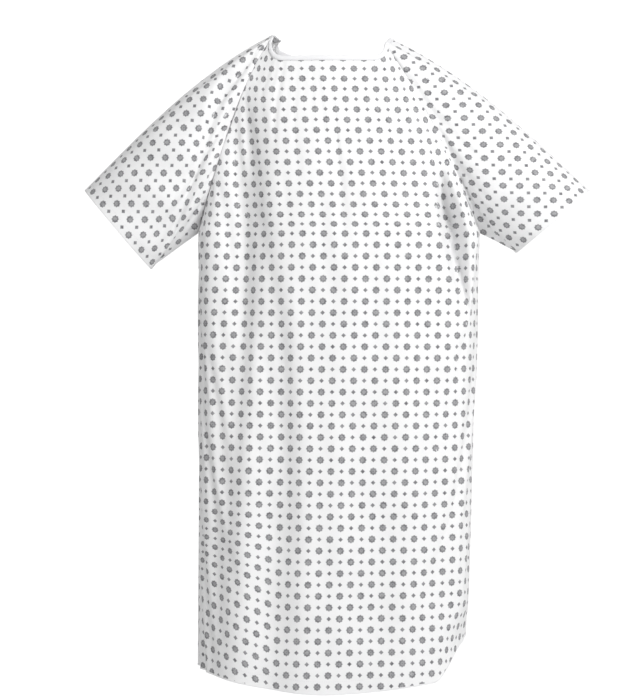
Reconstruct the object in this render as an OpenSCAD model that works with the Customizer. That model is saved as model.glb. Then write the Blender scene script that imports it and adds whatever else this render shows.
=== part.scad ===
// Patient gown, short raglan sleeves, open and tied at the back.
// Front faces -Y, the wearer's left is +X, up is +Z.
// The origin is the middle of the neck opening, on the shoulder line.

/* [Overall] */
// Length from the shoulder line down to the hem
gown_length = 1240; // [1000:10:1500]
// Width across the chest
body_width = 522; // [440:2:640]
// Width across the hem
hem_width = 508; // [430:2:640]
// How far the front stands forward at the chest
front_depth = 138; // [110:1:180]
// How far the front stands forward at the hem
front_hem_depth = 148; // [110:1:190]
// How far below the shoulder line the front reaches its chest depth
chest_drop = 330; // [260:5:400]

/* [Neck] */
// Width of the neck opening at the shoulder line
neck_width = 208; // [170:2:250]
// How far the front neckline dips
front_neck_drop = 41; // [25:1:90]
// How far the back neckline dips
back_neck_drop = 27; // [5:1:45]
// How far the front neckline stands forward
neck_front = 52; // [40:1:80]
// Half of the straight stretch of the front neckline, as a share of the panel
neck_flat = 0.4; // [0.2:0.05:0.7]
// Height of the neck binding
binding_height = 9; // [6:0.5:15]
// Thickness of the binding tape
binding_wall = 0.8; // [0.5:0.1:1.5]

/* [Sleeves] */
// How far the underarm is below the shoulder line
underarm_drop = 375; // [300:5:440]
// How far the top of the sleeve hem is from the middle
sleeve_reach = 472; // [400:2:560]
// How far the top of the sleeve hem is below the shoulder line
sleeve_drop = 288; // [200:2:340]
// Width of the sleeve hem laid flat
sleeve_width = 193; // [150:1:260]
// Front-to-back size of the sleeve hem
sleeve_depth = 156; // [110:1:200]
// Slope of the sleeve below the horizontal, in degrees
sleeve_slope = 38.7; // [25:0.1:55]
// How far the top of the sleeve is rounded up over the shoulder
shoulder_round = 15; // [0:1:30]

/* [Back] */
// How far the fold line of each back flap is set in from the corner of the neck
fold_neck_inset = 20; // [12:1:40]
// How far it is set in from the side at the hem
fold_side_inset = 40; // [25:1:90]
// How far the fold line stands back, at the neck
fold_top_y = 62; // [45:1:80]
// The same at the hem
fold_hem_y = 128; // [100:1:160]
// How much the back is rounded out between the fold lines
back_round = 16; // [5:1:30]
// Gap between the two back edges
back_gap = 5; // [3:0.5:20]

/* [Hems and seams] */
// Thickness of a cloth panel
cloth = 1.6; // [1.2:0.1:2.4]
// Height of the bottom hem
hem_height = 26; // [15:1:40]
// Height of the sleeve hems
sleeve_hem_height = 20; // [12:1:30]
// Width of the turned-in edge at the back opening
facing_width = 22; // [12:1:35]
// Half width of a seam allowance
seam_half = 8; // [5:0.5:12]
// Gap between two panels along a seam
seam_gap = 1; // [0.6:0.1:2]
// Gap between layers of cloth
layer_gap = 0.4; // [0.3:0.1:0.8]

/* [Ties] */
// Width of a tie tape
tie_width = 12; // [8:1:20]
// Thickness of a tie tape
tie_thick = 1; // [0.6:0.1:1.6]
// Free length of a tie
tie_length = 300; // [200:10:420]
// How far below the neck binding the neck ties are sewn
neck_tie_gap = 9; // [6:1:25]
// How far below the end of the neck ties the waist ties are sewn
waist_tie_gap = 50; // [20:1:120]
// How far a tie is set in from the back edge
tie_inset = 6; // [2:1:30]
// Height of a bar tack
tack_height = 3; // [2:0.5:5]

/* [Hidden] */

cloth_colour = [0.95, 0.95, 0.96];
trim_colour = [0.86, 0.86, 0.88];
tape_colour = [0.98, 0.98, 0.98];

// angle round the front at which its edge lies at the neck; it is square to the side at the underarm
neck_angle = 50;
// the armhole stays wide open until it closes on the underarm
armhole_power = 4;
// the raglan line starts steep and eases into the underarm
raglan_power = 0.7;
// the fold line of each flap, and the heights at which the ties are sewn
fold_top_x = neck_width / 2 - fold_neck_inset;
fold_hem_x = hem_width / 2 - fold_side_inset;
neck_tie_drop = back_neck_drop + binding_height + neck_tie_gap;
waist_tie_drop = neck_tie_drop + tie_length + waist_tie_gap;
// half the gap that lets a flap fold at its line
fold_gap = 1.5;
// how far the neck edge of the sleeve bows out
sleeve_neck_bow = 5;
// share of the sleeve's girth along each raglan line
raglan_share = 0.42;
// numbers of steps: across a panel, down to the underarm, below it, round and along a sleeve
across = 24;
upper_steps = 12;
lower_steps = 14;
round_steps = 36;
along_steps = 8;
strip_steps = 16;
// how far the inner layers lie from the middle of the cloth
inner_lift = -(cloth + layer_gap);
seam_lift = inner_lift - 2 * layer_gap;
tie_lift = cloth / 2 + layer_gap + tie_thick / 2;
flap_steps = across / 3;
hem_z = -gown_length;

function mix(a, b, t) = a + (b - a) * t;
function share(t) = min(1, max(0, t));
function unit(v) = v / norm(v);
function span(n) = [for (i = [0:n]) i / n];

// ---- the garment's surfaces ----

function arm_share(z) = share(-z / underarm_drop);
function below_share(z) = share((-z - underarm_drop) / (gown_length - underarm_drop));
function edge_x(z) =
  mix(mix(neck_width, body_width, pow(arm_share(z), raglan_power)), hem_width, below_share(z)) / 2;

function front_angle(z) = mix(neck_angle, 90, pow(arm_share(z), armhole_power));
function front_reach(z) =
  mix(mix(neck_front, front_depth, sin(90 * share(-z / chest_drop))), front_hem_depth, below_share(z));
// u runs from -1 to 1 across the front
function front_at(u, z) =
  let (edge = front_angle(z), a = u * edge)
  [edge_x(z) * sin(a) / sin(edge), -front_reach(z) * cos(a), z];
function front_top(u) = -front_neck_drop * cos(90 * share((abs(u) - neck_flat) / (1 - neck_flat)));

// the fold line of a back flap is straight, so that the flap can turn about it
function fold_at(z) =
  [mix(fold_top_x, fold_hem_x, -z / gown_length), mix(fold_top_y, fold_hem_y, -z / gown_length), z];
function back_angle(z) = mix(neck_angle, 0, pow(arm_share(z), armhole_power));
// u runs from 0 at the raglan line or side seam to 1 at the fold line
function side_at(u, z) =
  let (f = fold_at(z), first = back_angle(z), wide = (edge_x(z) - f.x) / cos(first),
       a = mix(first, acos(fold_gap / wide), u))
  [f.x + wide * cos(a), f.y * sin(a), z];
// u runs from 0 at the fold line to 1 at the back edge
function flap_at(u, z) =
  let (f = fold_at(z), x = mix(f.x - fold_gap, back_gap / 2, u), r = x / f.x)
  [x, f.y + back_round * pow(1 - r * r, 2), z];
function back_top(x) = -back_neck_drop * (1 - pow(2 * x / neck_width, 2));
function side_top(u) = back_top(mix(neck_width / 2, fold_top_x, u));
function flap_top(u) = back_top(fold_top_x * (1 - u));

// the closed line on which a sleeve starts: underarm, front raglan, neck, back raglan
function loop_at(w) =
  w <= raglan_share
  ? let (z = -underarm_drop * (1 - w / raglan_share)) front_at(1, z)
  : w >= 1 - raglan_share
  ? let (z = -underarm_drop * (w - 1 + raglan_share) / raglan_share) side_at(0, z)
  : let (k = (w - raglan_share) / (1 - 2 * raglan_share),
         p = mix(front_at(1, 0), side_at(0, 0), k), bow = sleeve_neck_bow * sin(180 * k))
    p + [bow, 0, bow / 2];
function girth_dir(w) =
  let (a = 360 * w) [-cos(a) * sin(sleeve_slope), -sin(a), -cos(a) * cos(sleeve_slope)];
function cuff_at(w) =
  let (half = sleeve_width / 2, d = girth_dir(w),
       middle = [sleeve_reach - half * sin(sleeve_slope), 0, -sleeve_drop - half * cos(sleeve_slope)])
  middle + [d.x * half, d.y * sleeve_depth / 2, d.z * half];
// w runs round the sleeve from the underarm, s along it
function sleeve_at(w, s) =
  mix(loop_at(w), cuff_at(w), s)
  + girth_dir(w) * shoulder_round * sin(180 * s) * (1 - cos(360 * w)) / 2;
function sleeve_run(w) = norm(cuff_at(w) - loop_at(w));

// ---- sheets and bands of cloth ----

function heading(g, i, j) =
  let (ni = len(g) - 1, nj = len(g[0]) - 1,
       di = g[min(i + 1, ni)][j] - g[max(i - 1, 0)][j],
       dj = g[i][min(j + 1, nj)] - g[i][max(j - 1, 0)])
  unit(cross(di, dj));

// a sheet of even thickness over a grid of points, lifted to its outer side
module sheet(g, thick = cloth, lift = 0) {
  ni = len(g);
  nj = len(g[0]);
  last = ni * nj;
  points = [
    for (side = [1, -1], i = [0:ni - 1], j = [0:nj - 1])
      g[i][j] + heading(g, i, j) * (lift + side * thick / 2)
  ];
  cells = [for (i = [0:ni - 2], j = [0:nj - 2]) let (k = i * nj + j) [k, k + 1, k + nj + 1, k + nj]];
  rim = concat(
    [for (j = [0:nj - 2]) [j, j + 1]],
    [for (i = [0:ni - 2]) [i * nj + nj - 1, (i + 1) * nj + nj - 1]],
    [for (j = [nj - 1:-1:1]) [(ni - 1) * nj + j, (ni - 1) * nj + j - 1]],
    [for (i = [ni - 1:-1:1]) [i * nj, (i - 1) * nj]]
  );
  polyhedron(points, concat(
    [for (c = cells) [c[0], c[1], c[2]]],
    [for (c = cells) [c[0], c[2], c[3]]],
    [for (c = cells) [last + c[0], last + c[2], last + c[1]]],
    [for (c = cells) [last + c[0], last + c[3], last + c[2]]],
    [for (r = rim) [r[1], r[0], last + r[0]]],
    [for (r = rim) [r[1], last + r[0], last + r[1]]]
  ));
}

// a folded tape over an edge, from frames of [point on the edge, way down the cloth, way out]
module binding(frames) {
  half = cloth / 2 + 2 * layer_gap;
  wide = half + binding_wall;
  top = -layer_gap - binding_wall;
  profile = [
    [binding_height, half], [binding_height, wide], [top, wide], [top, -wide],
    [binding_height, -wide], [binding_height, -half], [-layer_gap, -half], [-layer_gap, half]
  ];
  n = len(profile);
  last = (len(frames) - 1) * n;
  // each end is closed leg by leg and across the fold
  ends = [[0, 1, 2, 7], [7, 2, 3, 6], [6, 3, 4, 5]];
  points = [for (f = frames, q = profile) f[0] + f[1] * q[0] + f[2] * q[1]];
  polyhedron(points, concat(
    [for (e = ends) [e[3], e[2], e[1], e[0]]],
    [for (i = [0:len(frames) - 2], k = [0:n - 1])
      let (a = i * n + k, b = i * n + (k + 1) % n) each [[a, b, a + n], [b, b + n, a + n]]],
    [for (e = ends) [for (k = e) last + k]]
  ));
}

// rows of points down a panel, with one row level with the underarm at the panel's outer edge
down_shares = concat(
  [for (t = span(upper_steps)) t * underarm_drop / gown_length],
  [for (k = [1:lower_steps]) mix(underarm_drop, gown_length, k / lower_steps) / gown_length]
);
function front_grid() =
  let (most = 1 - seam_gap / (body_width / 2))
  [for (v = down_shares) [for (k = span(across))
    let (u = most * (2 * k - 1)) front_at(u, mix(front_top(u), hem_z, v))]];
function side_grid() =
  let (least = seam_gap / (body_width / 2))
  [for (v = down_shares) [for (k = span(flap_steps))
    let (u = mix(least, 1, k)) side_at(u, mix(side_top(u), hem_z, v))]];
function flap_grid() =
  [for (v = down_shares) [for (u = span(flap_steps)) flap_at(u, mix(flap_top(u), hem_z, v))]];
function sleeve_grid() =
  let (least = seam_gap / sleeve_width)
  [for (s = span(along_steps)) [for (k = span(round_steps))
    let (w = mix(least, 1 - least, k)) sleeve_at(w, mix(seam_gap / sleeve_run(w), 1, s))]];

// what is drawn for the wearer's left is mirrored for the right
module right() {
  mirror([1, 0, 0]) children();
}

// ---- panels ----

module front_panel() {
  color(cloth_colour) sheet(front_grid());
}
module back_side_left() {
  color(cloth_colour) sheet(side_grid());
}
module back_side_right() {
  right() back_side_left();
}
module back_flap_left() {
  color(cloth_colour) sheet(flap_grid());
}
module back_flap_right() {
  right() back_flap_left();
}
module sleeve_left() {
  color(cloth_colour) sheet(sleeve_grid());
}
module sleeve_right() {
  right() sleeve_left();
}

// ---- neck binding ----

// a frame on the neck edge: the point, the way down the cloth and the way out of the garment
function frame(p, beside, below) =
  let (down = unit(below - p)) [p, down, unit(cross(beside - p, down))];
// a frame follows the flat facet between a panel's first two rows
near = 4;
function next_row(z) = mix(z, hem_z, down_shares[1]);
function front_frame(u) =
  let (z = front_top(u)) frame(front_at(u, z), front_at(u - near / neck_width, z), front_at(u, next_row(z)));
function sleeve_frame(w) =
  frame(sleeve_at(w, 0), sleeve_at(w - 0.01, 0), sleeve_at(w, near / sleeve_run(w)));
function side_frame(u) =
  let (z = side_top(u)) frame(side_at(u, z), side_at(u - 0.1, z), side_at(u, next_row(z)));
function flap_frame(u) =
  let (z = flap_top(u)) frame(flap_at(u, z), flap_at(u - 0.1, z), flap_at(u, next_row(z)));
// at a raglan corner the frame is mitred between its two neighbours, and runs down the raglan line
function corner_frame(p, below, one, other) =
  let (down = unit(below - p), out = (one[2] + other[2]) / (1 + one[2] * other[2]))
  [p, down / max(0.4, down * one[1]), out];
function flipped(frames) =
  [for (k = [len(frames) - 1:-1:0]) let (f = frames[k]) [for (v = f) [-v.x, v.y, v.z]]];
// how near its neighbours stand to a raglan corner, as a share of the panel
corner = 0.03;
near_sleeve = corner * (1 - 2 * raglan_share);
// the binding is cut short of the fold line, so that a flap can turn
fold_clear = 3 * (binding_wall + layer_gap + cloth);
binding_share = 1 - fold_clear / (neck_width / 2 - fold_top_x + fold_clear);
half_neck = concat(
  [for (k = span(10)) front_frame(k * (1 - corner))],
  [corner_frame(front_at(1, 0), front_at(1, next_row(0)), front_frame(1),
                sleeve_frame(raglan_share + near_sleeve))],
  [for (k = span(5)) sleeve_frame(mix(raglan_share + near_sleeve, 1 - raglan_share - near_sleeve, k))],
  [corner_frame(side_at(0, 0), side_at(0, next_row(0)), side_frame(corner),
                sleeve_frame(1 - raglan_share - near_sleeve))],
  [for (k = span(3)) side_frame(mix(corner, binding_share, k))]
);

module neck_binding() {
  color(trim_colour)
    binding(concat(flipped([for (k = [1:len(half_neck) - 1]) half_neck[k]]), half_neck));
}
module neck_binding_end_left() {
  color(trim_colour) binding([for (k = span(8)) flap_frame(mix(fold_clear / fold_top_x, 1, k))]);
}
module neck_binding_end_right() {
  right() neck_binding_end_left();
}

// ---- hems and facings, turned to the inside ----

hem_levels = [for (v = [1, 0.5, 0]) hem_z + v * hem_height];
hem_end = 4 * (cloth + seam_gap) / body_width;
module front_hem() {
  color(trim_colour)
    sheet([for (z = hem_levels) [for (k = span(across)) front_at((1 - hem_end) * (2 * k - 1), z)]],
          cloth, inner_lift);
}
module back_side_hem_left() {
  color(trim_colour)
    sheet([for (z = hem_levels) [for (k = span(flap_steps)) side_at(mix(hem_end, 1, k), z)]],
          cloth, inner_lift);
}
module back_side_hem_right() {
  right() back_side_hem_left();
}
module back_flap_hem_left() {
  color(trim_colour)
    sheet([for (z = hem_levels) [for (u = span(flap_steps)) flap_at(u, z)]], cloth, inner_lift);
}
module back_flap_hem_right() {
  right() back_flap_hem_left();
}
module back_facing_left() {
  top = -back_neck_drop - binding_height - 2 * layer_gap;
  bottom = hem_z + hem_height + layer_gap;
  color(trim_colour)
    sheet([for (v = span(strip_steps)) let (z = mix(top, bottom, v), wide = fold_at(z).x - back_gap / 2)
            [for (k = [1, 0.5, 0]) flap_at(1 - k * facing_width / wide, z)]],
          cloth, inner_lift);
}
module back_facing_right() {
  right() back_facing_left();
}
module sleeve_hem_left() {
  least = (cloth + seam_gap) / sleeve_width;
  color(trim_colour)
    sheet([for (v = [1, 0.5, 0]) [for (k = span(round_steps))
            let (w = mix(least, 1 - least, k)) sleeve_at(w, 1 - v * sleeve_hem_height / sleeve_run(w))]],
          cloth, inner_lift);
}
module sleeve_hem_right() {
  right() sleeve_hem_left();
}

// ---- seams, each a strip of allowance inside the cloth ----

// depths below the shoulder line that a raglan seam runs between, clear of the binding and the underarm
raglan_first = binding_height + 3 * seam_half;
raglan_last = underarm_drop - 2 * seam_half;
function raglan_depths() = [for (t = span(strip_steps)) -mix(raglan_first, raglan_last, t)];

module front_raglan_seam_left() {
  color(trim_colour)
    sheet([for (z = raglan_depths())
            let (w = raglan_share * (1 + z / underarm_drop), near_edge = 1 - 2 * seam_half / body_width)
            [front_at(near_edge, z), front_at(1, z), sleeve_at(w, seam_half / sleeve_run(w))]],
          cloth, seam_lift);
}
module front_raglan_seam_right() {
  right() front_raglan_seam_left();
}
module back_raglan_seam_left() {
  color(trim_colour)
    sheet([for (z = raglan_depths())
            let (w = 1 - raglan_share * (1 + z / underarm_drop))
            [sleeve_at(w, seam_half / sleeve_run(w)), side_at(0, z), side_at(seam_half / fold_top_y, z)]],
          cloth, seam_lift);
}
module back_raglan_seam_right() {
  right() back_raglan_seam_left();
}
module side_seam_left() {
  top = -underarm_drop - seam_half;
  bottom = hem_z + hem_height + layer_gap;
  color(trim_colour)
    sheet([for (v = span(strip_steps)) let (z = mix(top, bottom, v), back = seam_half / fold_at(z).y)
            [front_at(1 - 0.64 * seam_half / front_depth, z), front_at(1, z), side_at(0.64 * back, z)]],
          cloth, seam_lift);
}
module side_seam_right() {
  right() side_seam_left();
}
module underarm_seam_left() {
  w = seam_half / (2 * sleeve_width + sleeve_depth);
  last = 1 - (sleeve_hem_height + layer_gap) / sleeve_run(0);
  first = 2 * seam_half / sleeve_run(0);
  color(trim_colour)
    sheet([for (v = span(4)) let (s = mix(first, last, v))
            [sleeve_at(1 - w, s), sleeve_at(0, s), sleeve_at(w, s)]],
          cloth, seam_lift);
}
module underarm_seam_right() {
  right() underarm_seam_left();
}

// ---- ties and their bar tacks ----

// a point on a tie's line, over the outside of the flap
function tie_at(across_tie, z) =
  let (x = tie_inset + across_tie, u = 1 - x / (fold_at(z).x - fold_gap - back_gap / 2))
  flap_at(u, z);
module tape(drop, length) {
  sheet([for (v = span(3)) [for (k = [1, 0]) tie_at(k * tie_width, -drop - v * length)]],
        tie_thick, tie_lift);
}
module neck_tie_left() {
  color(tape_colour) tape(neck_tie_drop, tie_length);
}
module neck_tie_right() {
  right() neck_tie_left();
}
module waist_tie_left() {
  color(tape_colour) tape(waist_tie_drop, tie_length);
}
module waist_tie_right() {
  right() waist_tie_left();
}
module tie_tacks_left() {
  color(trim_colour)
    for (drop = [neck_tie_drop, waist_tie_drop])
      tape(drop - tack_height - 2 * tie_thick, tack_height);
}
module tie_tacks_right() {
  right() tie_tacks_left();
}

front_panel();
back_side_left();
back_side_right();
back_flap_left();
back_flap_right();
sleeve_left();
sleeve_right();
neck_binding();
neck_binding_end_left();
neck_binding_end_right();
front_hem();
back_side_hem_left();
back_side_hem_right();
back_flap_hem_left();
back_flap_hem_right();
sleeve_hem_left();
sleeve_hem_right();
back_facing_left();
back_facing_right();
front_raglan_seam_left();
front_raglan_seam_right();
back_raglan_seam_left();
back_raglan_seam_right();
side_seam_left();
side_seam_right();
underarm_seam_left();
underarm_seam_right();
neck_tie_left();
neck_tie_right();
waist_tie_left();
waist_tie_right();
tie_tacks_left();
tie_tacks_right();
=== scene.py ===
import bpy
import math
import numpy as np
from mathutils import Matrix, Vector


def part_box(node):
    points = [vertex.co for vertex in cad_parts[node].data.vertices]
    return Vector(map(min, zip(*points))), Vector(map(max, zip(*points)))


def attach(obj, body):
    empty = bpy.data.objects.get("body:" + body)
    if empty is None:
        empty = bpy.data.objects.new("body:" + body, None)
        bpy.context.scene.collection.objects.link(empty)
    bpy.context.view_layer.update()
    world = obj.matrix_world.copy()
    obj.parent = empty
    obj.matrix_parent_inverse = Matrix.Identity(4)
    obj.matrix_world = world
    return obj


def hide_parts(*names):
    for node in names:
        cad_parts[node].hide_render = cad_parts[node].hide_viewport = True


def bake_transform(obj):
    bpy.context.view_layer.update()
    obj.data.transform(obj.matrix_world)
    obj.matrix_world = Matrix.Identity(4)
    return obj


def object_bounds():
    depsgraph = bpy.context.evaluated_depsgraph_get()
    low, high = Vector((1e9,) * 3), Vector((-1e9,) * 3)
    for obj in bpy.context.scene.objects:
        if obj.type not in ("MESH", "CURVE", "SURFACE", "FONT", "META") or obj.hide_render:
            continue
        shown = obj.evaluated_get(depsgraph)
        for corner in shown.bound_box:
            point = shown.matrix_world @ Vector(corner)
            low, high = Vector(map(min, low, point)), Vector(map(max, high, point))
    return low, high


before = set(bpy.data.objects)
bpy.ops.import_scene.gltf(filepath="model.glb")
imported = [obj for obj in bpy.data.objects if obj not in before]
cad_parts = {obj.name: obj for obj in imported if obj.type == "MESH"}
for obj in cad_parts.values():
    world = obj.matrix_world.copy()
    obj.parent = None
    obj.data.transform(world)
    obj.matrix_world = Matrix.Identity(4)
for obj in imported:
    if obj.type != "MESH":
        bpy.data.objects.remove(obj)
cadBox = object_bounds()
scene = bpy.context.scene


def mix(a, b, t):
    return a + (b - a) * t


def share(t):
    return np.clip(t, 0.0, 1.0)


def ease(t):
    t = share(t)
    return t * t * (3 - 2 * t)


def between(x, span):
    # 0 where the span starts, 1 after its length
    return ease((x - span[0]) / span[1])


def unit(v):
    return v / np.maximum(np.linalg.norm(v, axis=-1, keepdims=True), 1e-12)


def linear(hexColour):
    # sRGB hex to linear light
    parts = [int(hexColour[i:i + 2], 16) / 255 for i in (1, 3, 5)]
    return tuple(c / 12.92 if c <= 0.04045 else ((c + 0.055) / 1.055) ** 2.4 for c in parts) + (1.0,)


camera = {
    "aim": (-0.047, -0.07, -0.597),  # the middle of the view, in the plane of the sides
    "distance": 5.5,  # metres, square to the front
    "viewHeight": 1.323,  # metres of gown that fill the height of the view
    "sensor": 36.0,
}
light = {
    "world": 0.46,
    "keyPlace": (1.7, -2.6, 1.4),  # high on the wearer's left
    "keySize": 1.5,
    "keyPower": 86.0,
    "fillPlace": (-3.4, -4.4, -0.4),
    "fillSize": 3.2,
    "fillPower": 18.0,
    "backPlace": (0.8, 4.6, 1.2),
    "backPower": 40.0,
    "floorDrop": 0.38,  # metres of clear air below the hem
    "floorSize": 60.0,
    "floorGlow": 1.1,
}


def aimAt(thing, target):
    thing.rotation_euler = (Vector(target) - thing.location).to_track_quat("-Z", "Y").to_euler()


def areaLight(name, place, size, power, target):
    lamp = bpy.data.lights.new(name, "AREA")
    lamp.shape = "SQUARE"
    lamp.size = size
    lamp.energy = power
    thing = bpy.data.objects.new(name, lamp)
    scene.collection.objects.link(thing)
    thing.location = place
    aimAt(thing, target)
    return thing


def makeCamera():
    lens = bpy.data.cameras.new("camera")
    lens.sensor_width = camera["sensor"]
    lens.lens = camera["sensor"] * camera["distance"] / camera["viewHeight"]
    lens.clip_end = 60
    thing = bpy.data.objects.new("camera", lens)
    scene.collection.objects.link(thing)
    x, y, z = camera["aim"]
    thing.location = (x, y - camera["distance"], z)
    aimAt(thing, camera["aim"])
    scene.camera = thing


def addNode(tree, kind, settings=None, links=None):
    # one node with its settings, input values and incoming links
    node = tree.nodes.new(kind)
    for name, value in (settings or {}).items():
        if hasattr(node, name):
            setattr(node, name, value)
        else:
            node.inputs[name].default_value = value
    for name, source in (links or {}).items():
        if isinstance(source, (int, float)):
            node.inputs[name].default_value = source
        else:
            tree.links.new(source, node.inputs[name])
    return node


def newMaterial(name):
    material = bpy.data.materials.new(name)
    material.use_nodes = True
    tree = material.node_tree
    return material, tree, tree.nodes["Principled BSDF"]


def makeStage():
    world = bpy.data.worlds.new("paleStudio")
    scene.world = world
    world.use_nodes = True
    sky = world.node_tree.nodes["Background"]
    sky.inputs["Color"].default_value = (1, 1, 1, 1)
    sky.inputs["Strength"].default_value = light["world"]
    # what the camera sees behind the gown is plain white; what lights it is softer
    path = addNode(world.node_tree, "ShaderNodeLightPath")
    amount = addNode(world.node_tree, "ShaderNodeMapRange",
                     {"To Min": light["world"], "To Max": 1.1}, {"Value": path.outputs["Is Camera Ray"]})
    world.node_tree.links.new(amount.outputs["Result"], sky.inputs["Strength"])
    half = light["floorSize"] / 2
    z = cadBox[0][2] - light["floorDrop"]
    mesh = bpy.data.meshes.new("studioFloor")
    mesh.from_pydata([(-half, -half, z), (half, -half, z), (half, half, z), (-half, half, z)], [],
                     [(0, 1, 2, 3)])
    floor = bpy.data.objects.new("studioFloor", mesh)
    scene.collection.objects.link(floor)
    # matt white studio paint, rolled, lit from within a little so that it has no horizon
    material, tree, paint = newMaterial("mattWhiteStudioPaint")
    grain = addNode(tree, "ShaderNodeTexNoise", {"Scale": 180.0, "Detail": 3.0})
    tone = addNode(tree, "ShaderNodeMapRange", {"To Min": 0.83, "To Max": 0.87},
                   {"Value": grain.outputs[0]})
    tree.links.new(tone.outputs["Result"], paint.inputs["Base Color"])
    paint.inputs["Roughness"].default_value = 0.9
    seen = addNode(tree, "ShaderNodeLightPath")
    glow = addNode(tree, "ShaderNodeEmission", {"Strength": light["floorGlow"]})
    both = addNode(tree, "ShaderNodeMixShader", None, {0: seen.outputs["Is Camera Ray"],
                                                       1: paint.outputs[0], 2: glow.outputs[0]})
    tree.links.new(both.outputs[0], tree.nodes["Material Output"].inputs["Surface"])
    mesh.materials.append(material)
    areaLight("keyLight", light["keyPlace"], light["keySize"], light["keyPower"], (0, 0, -0.5))
    areaLight("fillLight", light["fillPlace"], light["fillSize"], light["fillPower"], (0, 0, -0.6))
    areaLight("backLight", light["backPlace"], light["keySize"], light["backPower"], (0, 0, -0.6))
    scene.view_settings.view_transform = "Standard"


makeCamera()
makeStage()
print("camera, light and floor made")


# the outside sizes come from the boxes of the solids
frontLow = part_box("front_panel")[0]
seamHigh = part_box("side_seam_left")[1]
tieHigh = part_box("neck_tie_left")[1]
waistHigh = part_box("waist_tie_left")[1]

gown = {
    "length": -frontLow.z,
    "underarm": -seamHigh.z - 0.008,
    "chestDrop": 0.330,
    "frontDepth": 0.138,
    "hemDepth": -frontLow.y - 0.0008,
    "neckFront": 0.052,
    "neckAngle": math.radians(50),
    "neckFlat": 0.56,  # straight part of the front neckline
    "neckDrop": 0.041,
    "frontSquare": 0.50,
    "backNeck": 0.104,  # half width of the back neckline
    "backNeckDrop": 0.032,
    "backEase": 0.7,
    "neckSweep": 1.15,
    "neckBow": 0.006,  # how far the sleeve's neck edge stands out
    "raglanShare": 0.42,  # share of the cuff's round that belongs to each raglan seam
    "foldTop": (0.084, 0.062),
    "foldHem": (0.214, 0.128),
    "backRound": 0.016,
    "backGap": 0.005,
    "sleeveDepth": 0.156,
    "shoulderRound": 0.023,
}
# the two sides hang a little differently: half widths at the neck, underarm and hem, and the cuff's ends
sides = {
    "left": {"sign": 1, "neck": 0.080, "chest": 0.279, "hem": 0.249, "ease": 0.8, "corner": -0.015,
             "cuffTop": (0.491, -0.287), "cuffBottom": (0.349, -0.410)},
    "right": {"sign": -1, "neck": 0.112, "chest": 0.261, "hem": 0.257, "ease": 0.7, "corner": -0.003,
              "cuffTop": (0.481, -0.287), "cuffBottom": (0.353, -0.441)},
}
grids = {
    "upperRows": 44,
    "lowerRows": 90,
    "frontColumns": 84,
    "sideColumns": 16,
    "flapColumns": 26,
    "neckColumns": 10,
    "sleeveRows": 40,
}


def armShare(z):
    return share(-z / gown["underarm"])


def belowShare(z):
    return share((-z - gown["underarm"]) / (gown["length"] - gown["underarm"]))


def edgeX(side, z):
    s = sides[side]
    return mix(mix(s["neck"], s["chest"], armShare(z) ** s["ease"]), s["hem"], belowShare(z))


def backEdgeX(side, z):
    s = sides[side]
    upper = mix(gown["backNeck"], s["chest"], armShare(z) ** gown["backEase"])
    return mix(upper, s["hem"], belowShare(z))


def frontAngle(z):
    return mix(gown["neckAngle"], math.pi / 2, armShare(z) ** 4)


def frontReach(z):
    top = mix(gown["neckFront"], gown["frontDepth"], np.sin(math.pi / 2 * share(-z / gown["chestDrop"])))
    return mix(top, gown["hemDepth"], belowShare(z))


def frontAt(u, z):
    left, right = edgeX("left", z), edgeX("right", z)
    middle, half = (left - right) / 2, (left + right) / 2
    angle = frontAngle(z)
    a = u * angle
    # worn cloth is flatter in front than an ellipse and turns more tightly at the sides
    end = np.cos(angle)
    flat = mix(1.0, gown["frontSquare"], armShare(z))
    forward = end + (1 - end) * share((np.cos(a) - end) / (1 - end)) ** flat
    return np.stack([middle + half * np.sin(a) / np.sin(angle), -frontReach(z) * forward, z + 0 * u], -1)


def frontTop(u):
    corner = np.where(u > 0, sides["left"]["corner"], sides["right"]["corner"])
    rise = share((np.abs(u) - gown["neckFlat"]) / (1 - gown["neckFlat"]))
    return mix(-gown["neckDrop"], corner, 1 - np.cos(math.pi / 2 * rise ** gown["neckSweep"]))


def foldAt(z):
    t = -z / gown["length"]
    return mix(gown["foldTop"][0], gown["foldHem"][0], t), mix(gown["foldTop"][1], gown["foldHem"][1], t)


def backAt(side, t, z):
    # t runs from 0 at the side seam to 1 at the fold line and 2 at the back edge
    fx, fy = foldAt(z)
    first = mix(gown["neckAngle"], 0, armShare(z) ** 4)
    wide = (backEdgeX(side, z) - fx) / np.cos(first)
    a = mix(first, math.pi / 2, share(t))
    sx, sy = fx + wide * np.cos(a), fy * np.sin(a)
    x = mix(fx, gown["backGap"] / 2, share(t - 1))
    y = fy + gown["backRound"] * (1 - (x / fx) ** 2) ** 2
    flap = t > 1
    return np.stack([np.where(flap, x, sx) * sides[side]["sign"], np.where(flap, y, sy), z + 0 * t], -1)


def backTop(side, t):
    fold = gown["foldTop"][0]
    x = np.where(t > 1, fold * (2 - t), mix(gown["backNeck"], fold, share(t)))
    return -gown["backNeckDrop"] * (1 - (x / gown["backNeck"]) ** 8)


def rowShares(corner):
    # one row of the grid meets the underarm at the panel's edge
    meet = (gown["underarm"] + corner) / (gown["length"] + corner)
    upper = np.linspace(0, meet, grids["upperRows"] + 1)
    lower = np.linspace(meet, 1, grids["lowerRows"] + 1)[1:]
    return np.concatenate([upper, lower])


def frontGrid():
    u = np.linspace(-1, 1, grids["frontColumns"] + 1)[None, :]
    v = mix(rowShares(sides["right"]["corner"])[:, None], rowShares(sides["left"]["corner"])[:, None],
            (u + 1) / 2)
    return frontAt(u, mix(frontTop(u), -gown["length"], v))


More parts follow.
